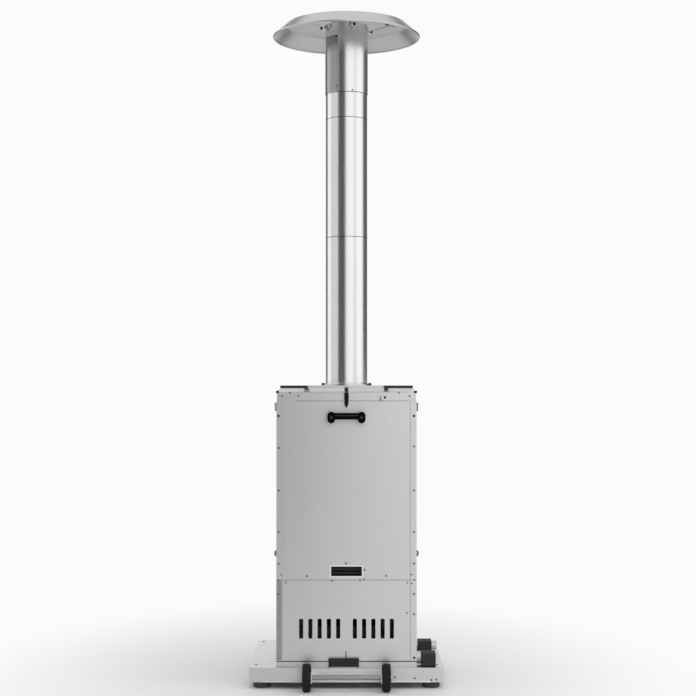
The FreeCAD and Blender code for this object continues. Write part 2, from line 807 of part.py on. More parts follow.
def make_fill_lid(side, hand):
    """Shallow dark pan over one fill opening, with a finger tab at its front inner corner."""
    label = f"{hand}_fill_lid"
    span = fill_span(side, "0")
    middle = f"({span[0]} + {span[1]}) / 2"
    base = "slope_top + lid_seat"
    pan = cut(f"{label}_pan", box(f"{label}_block", span, ("fill_near", "fill_far"), (base, "plate_top")),
              box(f"{label}_hollow", fill_span(side, "fill_wall"),
                  ("fill_near + fill_wall", "fill_far - fill_wall"), (base, "plate_top - sheet_gauge")))
    barrel_start = f"{middle} - fill_barrel_length / 2"
    barrel_span = (barrel_start, f"{middle} + fill_barrel_length / 2")
    barrel = rod(f"{label}_barrel", "X", (barrel_start, "fill_pin_y", "fill_pin_z"), "fill_barrel_length",
                 "fill_barrel_radius")
    web = box(f"{label}_web", barrel_span, ("fill_far - fill_wall / 2", "fill_pin_y"),
              ("fill_pin_z - fill_pin_radius", "fill_pin_z + fill_pin_radius"))
    tab_near = "flue_y - band_depth_half - fill_tab_gauge - side_gap"
    bridge_low = "plate_top - fill_tab_gauge"
    bridge = box(f"{label}_tab_bridge", sorted_span(side, "fill_inner", "fill_inner + fill_tab_width"),
                 (tab_near, "fill_near + fill_wall / 2"), (bridge_low, "plate_top"))
    low = "plate_top - fill_tab_length"
    edge = f"(fill_inner - {hand}_tab_shift)"
    foot = f"({edge} - {hand}_tab_lean)"
    tab = prism(f"{label}_tab", "XZ_Plane", [
        (f"{side} * {edge}", "plate_top"), (f"{side} * (fill_inner + fill_tab_width)", "plate_top"),
        (f"{side} * ({foot} + fill_tab_width)", low), (f"{side} * {foot}", low),
    ], "fill_tab_gauge", at=("0", f"{tab_near} + fill_tab_gauge", "0"))
    bore = rod(f"{label}_bore", "X", (barrel_start, "fill_pin_y", "fill_pin_z"), "fill_barrel_length",
               "fill_pin_radius + running_gap")
    keep(cut(label, fuse(f"{label}_blank", pan, barrel, web, bridge, tab), bore))


def make_fill_hinges():
    """A pin between two low posts behind each fill lid."""
    reach = "(fill_pin_radius + fill_post_wall)"
    hinges = []
    for side in (-1, 1):
        span = fill_span(side, "0")
        middle = f"({span[0]} + {span[1]}) / 2"
        inner = "(fill_barrel_length / 2 + side_gap)"
        outer = f"({inner} + fill_post)"
        pieces = [rod(f"fill_pin_{side + 1}", "X", (f"{middle} - {outer}", "fill_pin_y", "fill_pin_z"),
                      f"2 * {outer}", "fill_pin_radius")]
        for hand in (-1, 1):
            ends = sorted_span(hand, inner, outer)
            pieces.append(box(f"fill_post_{side + 1}_{hand + 1}",
                              (f"{middle} + {ends[0]}", f"{middle} + {ends[1]}"),
                              (f"fill_pin_y - {reach}", f"fill_pin_y + {reach}"),
                              ("slope_top", f"fill_pin_z + {reach}")))
        hinges.append(fuse(f"fill_hinge_{side + 1}", *pieces))
    keep(group("fill_hinges", *hinges))


def make_latch():
    """Draw latch: base on the band, lever hanging down, loop drawn over a ledge on the lid's slope."""
    wall = "(flue_y - band_depth_half)"
    face = f"({wall} - latch_plate_gauge)"
    pivot_y = f"({face} - latch_pivot_reach)"
    pivot_z = "(cab_top + latch_pivot_level)"
    arm_z = f"({pivot_z} - latch_arm_drop)"
    neck = "latch_neck_width / 2"
    inner = f"({neck} + latch_gap)"
    outer = f"({inner} + latch_cheek)"
    make_latch_base(wall, face, pivot_y, pivot_z, inner, outer)
    half = "latch_width / 2"
    tip = "latch_tip_width / 2"
    outline = [(neck, "-latch_lever_crown"), (neck, "latch_shoulder"), (half, "latch_shoulder"),
               (half, "latch_taper"), (tip, "latch_lever_drop")]
    points = [(x, f"{pivot_z} - ({drop})") for x, drop in outline]
    points += [(f"-{x}", z) for x, z in reversed(points)]
    lever = prism("latch_lever_blank", "XZ_Plane", points, "latch_lever_gauge",
                  at=("0", f"{pivot_y} + latch_lever_gauge / 2", "0"))
    keep(cut("latch_lever", lever,
             rod("latch_pivot_bore", "X", (f"-{neck}", pivot_y, pivot_z), "latch_neck_width",
                 "latch_pin_radius + running_gap"),
             rod("latch_arm_bore", "X", (f"-{neck}", pivot_y, arm_z), "latch_neck_width",
                 "latch_arm_radius + running_gap")))
    make_latch_loop(pivot_y, arm_z, f"({outer} + latch_gap)")
    ledge_low = "slope_top - hook_gauge"
    foot_low = "(slope_top - hook_height)"
    foot_y = f"{wall} + slope_run * ({foot_low} - band_top) / slope_rise"
    tip_y = f"{pivot_y} - bail_depth"
    keep(prism("latch_keeper", "YZ_Plane", [
        (foot_y, foot_low), (f"{wall} + slope_run", "slope_top"), (tip_y, "slope_top"), (tip_y, ledge_low),
        (f"{foot_y} - hook_gauge", ledge_low), (f"{foot_y} - hook_gauge", foot_low),
    ], "hook_width", at=("-hook_width / 2", "0", "0")))


def make_latch_base(wall, face, pivot_y, pivot_z, inner, outer):
    """Plate on the band with two cheeks that hold the lever's pin."""
    foot = "cab_top + latch_plate_level"
    pieces = [box("latch_plate", ("-latch_plate_width / 2", "latch_plate_width / 2"), (face, wall),
                  (foot, f"{foot} + latch_plate_height")),
              rod("latch_pin", "X", (f"-{outer}", pivot_y, pivot_z), f"2 * {outer}", "latch_pin_radius")]
    reach = "(2 * latch_pin_radius)"
    for side in (-1, 1):
        pieces.append(box(f"latch_cheek_{side + 1}", sorted_span(side, inner, outer),
                          (f"{pivot_y} - {reach}", face), (f"{pivot_z} - {reach}", f"{pivot_z} + {reach}")))
    keep(fuse("latch_base", *pieces))


def make_latch_loop(pivot_y, arm_z, inner):
    """Flat loop on two stub pins in the lever; its crossbar lies on the keeper."""
    outer = f"({inner} + bail_strip)"
    depth = (f"{pivot_y} - bail_depth / 2", f"{pivot_y} + bail_depth / 2")
    low = "slope_top + lid_seat"
    high = f"{low} + bail_depth"
    pieces = [box("bail_crossbar", (f"-{outer}", outer), depth, (low, high))]
    for side in (-1, 1):
        pieces.append(box(f"bail_leg_{side + 1}", sorted_span(side, inner, outer), depth,
                          (f"{arm_z} - bail_depth / 2", high)))
        start = sorted_span(side, "bail_strip", outer)[0]
        pieces.append(rod(f"bail_stub_{side + 1}", "X", (start, pivot_y, arm_z), f"{outer} - bail_strip",
                          "latch_arm_radius"))
    keep(fuse("latch_bail", *pieces))


def make_lift_handle(side, label):
    """Folding handle on a side wall: a plate with two eyes, and a flat bail that hangs down."""
    level = "(base_top + lift_level)"
    pivot_z = f"({level} + lift_plate_height / 2 - lift_eye_radius - lift_plate_gauge)"
    stand = "(cab_half + lift_plate_gauge + lift_stand)"
    plate = box(f"{label}_back", sorted_span(side, "cab_half", "cab_half + lift_plate_gauge"),
                ("flue_y - lift_plate_width / 2", "flue_y + lift_plate_width / 2"),
                (f"{level} - lift_plate_height / 2", f"{level} + lift_plate_height / 2"))
    eye_out = "(lift_span + lift_eye_length) / 2"
    leg_in = f"({eye_out} + side_gap)"
    leg_out = f"({leg_in} + lift_bar)"
    high = f"{pivot_z} + lift_bar / 2"
    low = f"{pivot_z} - lift_drop"
    outline = [(leg_out, high), (leg_out, low), (f"-{leg_out}", low), (f"-{leg_out}", high),
               (f"-{leg_in}", high), (f"-{leg_in}", f"{low} + lift_bar"), (leg_in, f"{low} + lift_bar"),
               (leg_in, high)]
    strap = prism(f"{label}_strap", "YZ_Plane", outline, "lift_bar_gauge",
                  at=(f"{side} * {stand} - lift_bar_gauge / 2", "flue_y", "0"))
    pieces = [plate]
    bores = []
    bail = [soften(strap, (1, 0, 0), "lift_round")]
    for hand in (-1, 1):
        start = (f"{side} * {stand}", f"flue_y + {hand} * lift_span / 2 - lift_eye_length / 2", pivot_z)
        pieces.append(rod(f"{label}_eye_{hand + 1}", "Y", start, "lift_eye_length", "lift_eye_radius"))
        pieces.append(box(f"{label}_eye_seat_{hand + 1}", sorted_span(side, "cab_half", stand),
                          (start[1], f"{start[1]} + lift_eye_length"),
                          (f"{pivot_z} - lift_rod_radius", f"{pivot_z} + lift_rod_radius")))
        bores.append(rod(f"{label}_eye_bore_{hand + 1}", "Y", start, "lift_eye_length",
                         "lift_rod_radius + running_gap"))
        stub = sorted_span(hand, f"({eye_out} - lift_eye_length)", f"({leg_in} + lift_bar / 2)")
        bail.append(rod(f"{label}_stub_{hand + 1}", "Y", (start[0], f"flue_y + {stub[0]}", pivot_z),
                        f"{stub[1]} - ({stub[0]})", "lift_rod_radius"))
    keep(fuse(f"{label}_bail", *bail))
    return cut(f"{label}_plate", fuse(f"{label}_plate_blank", *pieces), *bores)


def make_firebox():
    """Welded fire chamber, open at the rear for the door, with feed mouths, an ash hole and a flue hole."""
    far = "cab_rear - sheet_gauge - fit_gap"
    wall = "firebox_gauge"
    inside = f"firebox_bottom + {wall}"
    ceiling = f"firebox_top - {wall}"
    tools = [
        box("firebox_hollow", (f"{wall} - firebox_half", f"firebox_half - {wall}"),
            (f"firebox_near + {wall}", f"{far} + overcut"), (inside, ceiling)),
        centred("firebox_feed", "firebox_half + overcut", "feed_width / 2", ("feed_bottom", "feed_top")),
        centred("firebox_ash_hole", "ash_hole / 2", "ash_hole / 2",
                ("firebox_bottom - overcut", f"{inside} + overcut")),
        rod("firebox_flue_hole", "Z", ("0", "flue_y", f"{ceiling} - overcut"), f"{wall} + 2 * overcut",
            "riser_radius + fit_gap"),
    ]
    block = box("firebox_block", ("-firebox_half", "firebox_half"), ("firebox_near", far),
                ("firebox_bottom", "firebox_top"))
    keep(cut("firebox", block, *tools))
    keep(tube("flue_riser", "Z", ("0", "flue_y", ceiling), f"flange_top + spigot_length - ({ceiling})",
              "riser_radius", "riser_radius - flue_gauge"))


def make_burn_pot():
    """Cast pot that widens to the feed mouths, with a slotted grate floor over the ash hole."""
    base = "firebox_bottom + firebox_gauge"
    rise = f"(feed_bottom - side_gap - {base})"
    top_half = "(firebox_half - firebox_gauge - side_gap)"
    low_depth = "(pot_depth_half - pot_taper)"
    block = frustum("pot_block", ("pot_low_half", low_depth), (top_half, "pot_depth_half"), base, rise)
    tools = [frustum("pot_hollow", ("pot_low_half - pot_gauge", f"{low_depth} - pot_gauge"),
                     (f"{top_half} - pot_gauge", "pot_depth_half - pot_gauge"), f"{base} + pot_gauge",
                     f"{rise} - pot_gauge + fit_gap")]
    for index in range(int(number("pot_slots"))):
        middle = f"({index} - (pot_slots - 1) / 2) * pot_slot_pitch"
        tools.append(box(f"pot_slot_{index}", (f"{middle} - pot_slot / 2", f"{middle} + pot_slot / 2"),
                         ("flue_y - ash_hole / 2", "flue_y + ash_hole / 2"),
                         (f"{base} - overcut", f"{base} + pot_gauge + overcut")))
    keep(cut("burn_pot", block, *tools))


def make_hopper(side, label):
    """Pellet hopper beside the firebox: its floor slopes down to the feed mouth."""
    inner = "(firebox_half + hopper_stand)"
    outer = "(band_half - sheet_gauge - cover_flange - side_gap)"
    top = "slope_top - sheet_gauge - side_gap"
    heel = "(base_top + hopper_slope_top)"
    wall = "hopper_gauge"
    shell = [("firebox_half", "feed_bottom"), (outer, heel), (outer, top), (inner, top), (inner, "feed_top"),
             ("firebox_half", "feed_top")]
    hollow = [(f"firebox_half - {wall}", f"feed_bottom + {wall}"), ("firebox_half", f"feed_bottom + {wall}"),
              (f"{outer} - {wall}", f"{heel} + {wall}"), (f"{outer} - {wall}", f"{top} + {wall}"),
              (f"{inner} + {wall}", f"{top} + {wall}"), (f"{inner} + {wall}", f"feed_top - {wall}"),
              (f"firebox_half - {wall}", f"feed_top - {wall}")]
    blank = prism(f"{label}_block", "XZ_Plane", [(f"{side} * {x}", z) for x, z in shell], "feed_width",
                  at=("0", "flue_y + feed_width / 2", "0"))
    void = prism(f"{label}_void", "XZ_Plane", [(f"{side} * ({x})", z) for x, z in hollow],
                 f"feed_width - 2 * {wall}", at=("0", f"flue_y + feed_width / 2 - {wall}", "0"))
    keep(cut(label, blank, void))


def make_ash_chamber():
    """Air box on the cabinet floor: it carries the firebox, guides the drawer and has the air ports."""
    half = "(drawer_half + side_gap)"
    outer = f"({half} + chamber_gauge)"
    near = "cab_front + chamber_front"
    far = "cab_rear - sheet_gauge - fit_gap"
    low = "base_top + sheet_gauge"
    tools = [
        box("chamber_hollow", (f"-{half}", half), (f"{near} + chamber_gauge", f"{far} + chamber_gauge"),
            (f"{low} - overcut", "firebox_bottom - chamber_gauge")),
        centred("chamber_ash_hole", "ash_hole / 2", "ash_hole / 2",
                ("firebox_bottom - 2 * chamber_gauge", "firebox_bottom + chamber_gauge")),
    ]
    for index in range(2):
        tools += damper_ports(f"chamber_port_{index}", index, f"{half} - chamber_gauge", "3 * chamber_gauge")
    block = box("chamber_block", (f"-{outer}", outer), (near, far), (low, "firebox_bottom"))
    keep(cut("ash_chamber", block, *tools))


def damper_ports(name, index, start, length):
    """The ring of holes through a damper disc or the wall behind it."""
    count = int(number("damper_holes"))
    ports = []
    for step in range(count):
        turn = f"({step} + 0.5) * 360 / {count}"
        ports.append(rod(f"{name}_{step}", "X",
                         (start, f"{lever_y(index)} + damper_hole_reach * cos({turn})",
                          f"lever_z + damper_hole_reach * sin({turn})"), length, "damper_hole_radius"))
    return ports


def make_air_controls():
    """Two levers on the right wall, each turning a holed damper disc against the ash chamber."""
    wall = "(drawer_half + side_gap + chamber_gauge + side_gap)"
    start = "(cab_half + collar_length + side_gap)"
    stop = f"({start} + lever_width)"
    collars = []
    for index, label in enumerate(("front", "rear")):
        cap_end = f"({stop} + {label}_cap_length)"
        column = lever_y(index)
        at = ("0", column, "lever_z")
        collars.append(tube(f"{label}_collar", "X", ("cab_half", column, "lever_z"), "collar_length",
                            "collar_radius", "shaft_radius + running_gap"))
        arm = prism(f"{label}_lever_arm", "YZ_Plane", rectangle(
            ("-lever_reach", "0"), ("-lever_height / 2", "lever_height / 2")), "lever_width",
            at=(start, column, "lever_z"))
        boss = rod(f"{label}_lever_boss", "X", (start, column, "lever_z"), "lever_width", "lever_radius")
        grip = fuse(f"{label}_lever_blank", soften(arm, (1, 0, 0), "lever_round"), boss)
        bore = rod(f"{label}_lever_bore", "X", (start, column, "lever_z"), "lever_width",
                   "shaft_radius + fit_gap")
        shaft = turned(f"{label}_shaft_blank", [
            (wall, "0"), (wall, "damper_radius"), (f"{wall} + damper_gauge", "damper_radius"),
            (f"{wall} + damper_gauge", "shaft_radius"), (stop, "shaft_radius"), (stop, "shaft_cap_radius"),
            (f"{cap_end} - 2 * cap_wall", "shaft_cap_radius"), (cap_end, "shaft_cap_radius - 2 * cap_wall"),
            (cap_end, "0"),
        ], "X", at=at)
        ports = damper_ports(f"{label}_damper_port", index, f"{wall} - damper_gauge", "3 * damper_gauge")
        keep(cut(f"{label}_air_lever", grip, bore), cut(f"{label}_air_shaft", shaft, *ports))
    keep(group("air_collars", *collars))


def make_fire_door():
    """Folded steel door over the firebox mouth, hung on a pin between two fixed barrels."""
    half = "door_width / 2"
    near = "(cab_rear + door_gap)"
    far = f"({near} + door_thickness)"
    low = "(door_z - door_height / 2)"
    high = "(door_z + door_height / 2)"
    axis = (f"(-{half} - door_barrel_radius - side_gap)", f"({near} + door_barrel_radius)")
    barrel_low = "(door_z - door_barrel_length)"
    barrel_high = "(door_z + door_barrel_length)"
    barrel = (*axis, barrel_low)
    length = "2 * door_barrel_length"
    pan = cut("door_pan", box("door_block", (f"-{half}", half), (near, far), (low, high)),
              box("door_hollow", (f"door_gauge - {half}", f"{half} - door_gauge"),
                  (f"{near} - overcut", f"{far} - door_gauge"),
                  (f"{low} + door_gauge", f"{high} - door_gauge")))
    whole = fuse("door_blank", pan, rod("door_barrel", "Z", barrel, length, "door_barrel_radius"),
                 box("door_web", (axis[0], f"door_gauge / 2 - {half}"),
                     (axis[1], f"{axis[1]} + door_pin_radius"), (barrel_low, barrel_high)))
    keep(cut("fire_door", whole, rod("door_bore", "Z", barrel, length, "door_pin_radius + running_gap")))
    make_door_hinge(axis)
    make_door_pull(f"{half} - 3 * pull_radius", far)


def make_door_hinge(axis):
    """Fixed leaf with a barrel above and below the door's own, and the pin through all three."""
    edge = f"({axis[0]} - door_barrel_radius - side_gap)"
    inner = "door_barrel_length + side_gap"
    reach = "(2 * door_barrel_length + side_gap)"
    pieces = [box("leaf_plate", (f"{edge} - door_leaf_width", edge), ("cab_rear", "cab_rear + door_gauge"),
                  (f"door_z - {reach}", f"door_z + {reach}"))]
    for end in (-1, 1):
        span = sorted_span(end, inner, reach)
        low, high = [f"door_z + ({offset})" for offset in span]
        pieces.append(rod(f"leaf_barrel_{end + 1}", "Z", (*axis, low), f"{reach} - ({inner})",
                          "door_barrel_radius"))
        pieces.append(box(f"leaf_web_{end + 1}", (f"{edge} - door_gauge", axis[0]), ("cab_rear", axis[1]),
                          (low, high)))
    foot = (*axis, f"door_z - {reach}")
    keep(cut("door_hinge_leaf", fuse("leaf_blank", *pieces),
             rod("leaf_bore", "Z", foot, f"2 * {reach}", "door_pin_radius + fit_gap")))
    keep(rod("door_hinge_pin", "Z", foot, f"2 * {reach}", "door_pin_radius"))


def make_door_pull(column, face):
    """Round bar on two posts at the door's free edge."""
    pieces = [rod("pull_bar", "Z", (column, f"{face} + pull_reach", "door_z - pull_length / 2"),
                  "pull_length", "pull_radius")]
    for end in (-1, 1):
        level = f"door_z + {end} * (pull_length / 2 - 2 * pull_post_radius)"
        pieces.append(rod(f"pull_post_{end + 1}", "Y", (column, face, level), "pull_reach",
                          "pull_post_radius"))
    keep(fuse("door_pull", *pieces))


def make_ash_drawer():
    """Open ash pan with a lapped front and a bent pull lip."""
    wall = "drawer_gauge"
    far = "cab_rear + door_gap"
    near = "cab_rear - drawer_length"
    tray = cut("drawer_tray",
               box("drawer_block", ("-drawer_half", "drawer_half"), (near, f"{far} + {wall}"),
                   ("drawer_bottom", "drawer_top")),
               box("drawer_hollow", (f"{wall} - drawer_half", f"drawer_half - {wall}"),
                   (f"{near} + {wall}", far), (f"drawer_bottom + {wall}", "drawer_top + overcut")))
    front = box("drawer_front", ("-drawer_half - drawer_lap", "drawer_half + drawer_lap"),
                (far, f"{far} + 2 * {wall}"), ("drawer_bottom", "drawer_top + drawer_lap"))
    lip_low = "(drawer_bottom + drawer_height / 2)"
    lip_top = f"{lip_low} + 2 * {wall}"
    face = f"{far} + {wall}"
    tip = f"{face} + lip_reach"
    edge = f"{tip} + 2 * {wall}"
    lip = prism("drawer_pull", "YZ_Plane", [
        (face, lip_low), (tip, lip_low), (tip, f"{lip_low} - lip_drop"), (edge, f"{lip_low} - lip_drop"),
        (edge, lip_top), (face, lip_top),
    ], "lip_width", at=("-lip_width / 2", "0", "0"))
    keep(fuse("ash_drawer", tray, front, lip))


def pipe(name, low, high, spigot):
    """A flue pipe; with a spigot its top steps in to enter the next pipe."""
    outer = "flue_inner - fit_gap"
    inner = f"{outer} - flue_gauge"
    points = [("flue_inner", low), ("flue_radius", low), ("flue_radius", high)]
    if spigot:
        points += [(outer, high), (outer, f"{high} + spigot_length"), (inner, f"{high} + spigot_length"),
                   (inner, f"{high} - flue_gauge"), ("flue_inner", f"{high} - flue_gauge")]
    else:
        points.append(("flue_inner", high))
    return turned(name, points, "Z", at=("0", "flue_y", "0"))


def make_flue():
    """Three pipes on a flange, and a wider head sleeve with a lapped seam strip."""
    flange = tube("flue_flange", "Z", ("0", "flue_y", "plate_top"), "flange_gauge", "flange_radius",
                  "flue_inner")
    keep(fuse("chimney_lower", pipe("lower_pipe", "plate_top", "lower_top", True), flange))
    keep(pipe("chimney_middle", "lower_top + joint_gap", "middle_top", True))
    keep(pipe("chimney_upper", "middle_top + joint_gap", "upper_top + spigot_length", False))
    sleeve = tube("head_sleeve", "Z", ("0", "flue_y", "upper_top"), "head_length", "head_radius",
                  "flue_radius + fit_gap")
    foot = ("0", "flue_y", "upper_top + seam_strip_margin")
    lapped = rod("seam_lap", "Z", foot, "seam_strip_height", "head_radius + seam_strip_gauge")
    lapped.setExpression("Angle", linked("seam_strip_sweep"))
    spin(lapped, "front_angle - seam_strip_start - seam_strip_sweep")
    strip = cut("seam_strip", lapped, rod("seam_inside", "Z", foot, "seam_strip_height",
                                          "head_radius - seam_strip_gauge / 2"))
    keep(fuse("chimney_head", sleeve, strip))


def ceiling_over(radius):
    """Level of a strap's foot just under the hat's cone."""
    span = "(hat_fold_radius - hat_gauge)"
    return f"(hat_fold_z - hat_gauge - fit_gap + ({span} - {radius}) * hat_cone_rise / {span})"


def make_hat():
    """Round hat: a shallow cone with a flared skirt and a rolled rim, on four bent straps."""
    bead = [("-hat_bead", "hat_bead_flat"), ("-hat_bead", "-hat_bead_flat"), ("-hat_bead_flat", "-hat_bead"),
            ("hat_bead_flat", "-hat_bead"), ("hat_bead", "-hat_bead_flat"), ("hat_bead", "hat_bead_flat"),
            ("hat_bead_flat", "hat_bead"), ("-hat_bead_flat", "hat_bead")]
    rim = [(f"hat_rim_radius + {across}", f"hat_rim_z + {up}") for across, up in bead]
    keep(turned("hat", [
        *rim, ("hat_fold_radius", "hat_fold_z"), ("0", "hat_fold_z + hat_cone_rise"),
        ("0", "hat_fold_z + hat_cone_rise - hat_gauge"),
        ("hat_fold_radius - hat_gauge", "hat_fold_z - hat_gauge"),
    ], "Z", at=("0", "flue_y", "0")))
    near = "head_radius + fit_gap"
    edge = f"{near} + strap_gauge"
    top = "head_top - strap_drop"
    bottom = f"{top} - strap_tab"
    bend, reach = ceiling_over("strap_bend"), ceiling_over("strap_reach")
    straps = []
    for index in range(int(number("strap_count"))):
        strap = prism(f"hat_strap_{index}", "XZ_Plane", [
            (near, top), (near, bottom), ("strap_bend", f"{bend} - strap_gauge"),
            ("strap_reach", f"{reach} - strap_gauge"), ("strap_reach", reach), ("strap_bend", bend),
            (edge, f"{bottom} + strap_gauge"), (edge, top),
        ], "strap_width", at=("0", "flue_y", "0"))
        strap.Tip.SideType = "Symmetric"
        straps.append(spin(strap, f"strap_angle + {index} * 360 / strap_count"))
    keep(group("hat_straps", *straps))


def build():
    fill_sheet()
    make_base_tray()
    make_feet()
    make_axle()
    plates = []
    for side, hand in ((-1, "left"), (1, "right")):
        make_wheel(side, hand)
        make_fill_lid(side, hand)
        make_hopper(side, f"{hand}_hopper")
        plates.append(make_lift_handle(side, f"{hand}_handle"))
    keep(group("lift_handle_plates", *plates))
    make_bumper()
    make_posts()
    make_floor()
    make_panels()
    make_vent_panel()
    make_tilt_handle()
    make_grip_cup()
    make_cover_band()
    make_cover_lid()
    make_fill_hinges()
    make_latch()
    make_firebox()
    make_burn_pot()
    make_ash_chamber()
    make_air_controls()
    make_fire_door()
    make_ash_drawer()
    make_flue()
    make_hat()
    doc.recompute()


def check_and_write():
    """Stop if anything failed to build, then write each sub-part to its own file."""
    for item in doc.Objects:
        if "Invalid" in item.State or "Error" in item.State:
            raise RuntimeError(f"{item.Name} failed: {item.State}")
    os.makedirs("parts", exist_ok=True)
    for piece in KEPT:
        if piece.Shape.isNull() or not piece.Shape.isValid():
            raise RuntimeError(f"{piece.Label} has no valid shape")
        piece.Shape.exportStep(f"parts/{piece.Label}.step")
    print(len(KEPT), "sub-parts written")


build()
check_and_write()
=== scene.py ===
import json
import math

import bmesh
import bpy
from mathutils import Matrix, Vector


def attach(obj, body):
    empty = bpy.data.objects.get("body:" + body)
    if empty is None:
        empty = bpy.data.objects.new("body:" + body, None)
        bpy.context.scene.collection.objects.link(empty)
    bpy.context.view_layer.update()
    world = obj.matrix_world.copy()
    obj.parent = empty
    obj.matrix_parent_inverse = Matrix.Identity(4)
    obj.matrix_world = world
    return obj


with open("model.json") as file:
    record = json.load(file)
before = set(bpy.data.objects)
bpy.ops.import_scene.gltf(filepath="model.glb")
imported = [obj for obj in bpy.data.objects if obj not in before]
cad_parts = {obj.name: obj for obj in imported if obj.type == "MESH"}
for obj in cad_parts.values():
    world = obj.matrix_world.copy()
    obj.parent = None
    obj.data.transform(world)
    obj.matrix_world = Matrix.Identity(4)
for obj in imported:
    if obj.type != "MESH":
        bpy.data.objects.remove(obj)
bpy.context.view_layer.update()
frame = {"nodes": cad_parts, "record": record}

# Looks of the pellet patio heater: finishes for every CAD node, small fasteners and trim, and a studio.
# The frame is that of the CAD part: X right, Y away from the wheel side, Z up.
# The studio and the finishes are in metres, the spots and sizes of fasteners and trim in millimetres.

NODES = frame["nodes"]
SLOT_OF = {part["node"]: part["material_slot"] for part in frame["record"]["subparts"]}
MILLIMETRE = 0.001

# Faces and radii that the trim sits on, in millimetres.
FLUE_Y = 16
PANEL_FRONT = -211.5
BAND_FRONT = -210
POST_BACK = 243.5
TRAY_FRONT = -229
TRAY_TOP = 68
SIDE_WALL = 227.5
FLANGE_TOP = 983
PIPE_RADIUS = 70.75
SLEEVE_RADIUS = 72.6
STRIP_RADIUS = 73.4

FRONT = (0, -1, 0)
BACK = (0, 1, 0)
UP = (0, 0, 1)
DOWN = (0, 0, -1)


def mm(*values):
    """A point given in millimetres."""
    return Vector(values) * MILLIMETRE


def add_node(tree, kind, values=None, **settings):
    """A shader node with some of its inputs and settings filled in."""
    node = tree.nodes.new(kind)
    for name, value in settings.items():
        setattr(node, name, value)
    for name, value in (values or {}).items():
        node.inputs[name].default_value = value
    return node


def grey(level, warmth=0.0):
    """A grey with a little more red than blue where warmth is above zero."""
    return (level * (1 + warmth), level, level * (1 - warmth), 1.0)


def even(scale):
    """The same scale along each axis."""
    return (scale, scale, scale)


def noise_on(tree, stretch, detail=3.0):
    """Noise over the object's own coordinates, stretched by a scale for each axis."""
    place = add_node(tree, "ShaderNodeTexCoord")
    mapping = add_node(tree, "ShaderNodeMapping", {"Scale": stretch})
    noise = add_node(tree, "ShaderNodeTexNoise", {"Scale": 1.0, "Detail": detail, "Roughness": 0.6})
    tree.links.new(place.outputs["Object"], mapping.inputs["Vector"])
    tree.links.new(mapping.outputs["Vector"], noise.inputs["Vector"])
    return noise.outputs["Fac"]


def spread(tree, noise, low, high):
    """A number that follows the noise, most of which lies from 0.3 to 0.7, between two values."""
    ranged = add_node(tree, "ShaderNodeMapRange", {"From Min": 0.3, "From Max": 0.7, "To Min": low, "To Max": high})
    tree.links.new(noise, ranged.inputs["Value"])
    return ranged.outputs["Result"]


def blend(tree, factor, first, second):
    """A colour that follows a factor from one colour to another, each a plain colour or a socket."""
    mix = add_node(tree, "ShaderNodeMix", data_type="RGBA")
    sockets = [socket for socket in mix.inputs if socket.type == "RGBA"]
    for socket, colour in zip(sockets, (first, second)):
        if isinstance(colour, tuple):
            socket.default_value = colour
        else:
            tree.links.new(colour, socket)
    tree.links.new(factor, mix.inputs["Factor"])
    return next(socket for socket in mix.outputs if socket.type == "RGBA")


def finish_of(name, colours, roughness, fine, broad, metallic=0.0, relief=0.1, edge=0.0, shine=0.5, tone=None):
    """A finish whose roughness and relief follow a fine grain, and whose colour follows broad clouds.

    A tone, where there is one, gives a factor over the surface and the colour that it leads to.
    """
    material = bpy.data.materials.new(name)
    material.use_nodes = True
    tree = material.node_tree
    surface = tree.nodes["Principled BSDF"]
    surface.inputs["Metallic"].default_value = metallic
    surface.inputs["Specular IOR Level"].default_value = shine
    grain = noise_on(tree, fine, detail=4.0)
    clouds = noise_on(tree, broad)
    colour = blend(tree, clouds, *colours)
    if tone:
        factor, other = tone
        colour = blend(tree, factor(tree), colour, other)
    tree.links.new(colour, surface.inputs["Base Color"])
    tree.links.new(spread(tree, grain, *roughness), surface.inputs["Roughness"])
    bump = add_node(tree, "ShaderNodeBump", {"Strength": relief, "Distance": 0.2 * MILLIMETRE})
    tree.links.new(grain, bump.inputs["Height"])
    if edge:
        rounded = add_node(tree, "ShaderNodeBevel", {"Radius": edge}, samples=4)
        tree.links.new(rounded.outputs["Normal"], bump.inputs["Normal"])
    tree.links.new(bump.outputs["Normal"], surface.inputs["Normal"])
    return material


def combine(tree, operation, *values):
    """A product or other result of sockets and plain numbers."""
    node = add_node(tree, "ShaderNodeMath", operation=operation)
    for socket, value in zip(node.inputs, values):
        if isinstance(value, (int, float)):
            socket.default_value = value
        else:
            tree.links.new(value, socket)
    return node.outputs["Value"]


def seam_strip_shade_tone(tree):
    """The lapped seam strip of the flue's head, darker than the sleeve: one on it, none elsewhere. The strip is a
    real piece; its darker colour is partly painted shade, of the hat above and in place of a reflected highlight.

    The turn about the flue starts at the right-hand side, and the front is at -90 degrees.
    """
    middle, half_width = math.radians(-138.5), math.radians(24.6)
    middle_height, half_height = 2.0662, 0.0952
    place = add_node(tree, "ShaderNodeTexCoord")
    from_flue = add_node(tree, "ShaderNodeMapping", {"Location": (0, -FLUE_Y * MILLIMETRE, 0)})
    parts = add_node(tree, "ShaderNodeSeparateXYZ")
    tree.links.new(place.outputs["Object"], from_flue.inputs["Vector"])
    tree.links.new(from_flue.outputs["Vector"], parts.inputs["Vector"])
    turn = combine(tree, "ARCTAN2", parts.outputs["Y"], parts.outputs["X"])
    across = combine(tree, "COMPARE", turn, middle, half_width)
    along = combine(tree, "COMPARE", parts.outputs["Z"], middle_height, half_height)
    return combine(tree, "MULTIPLY", across, along)


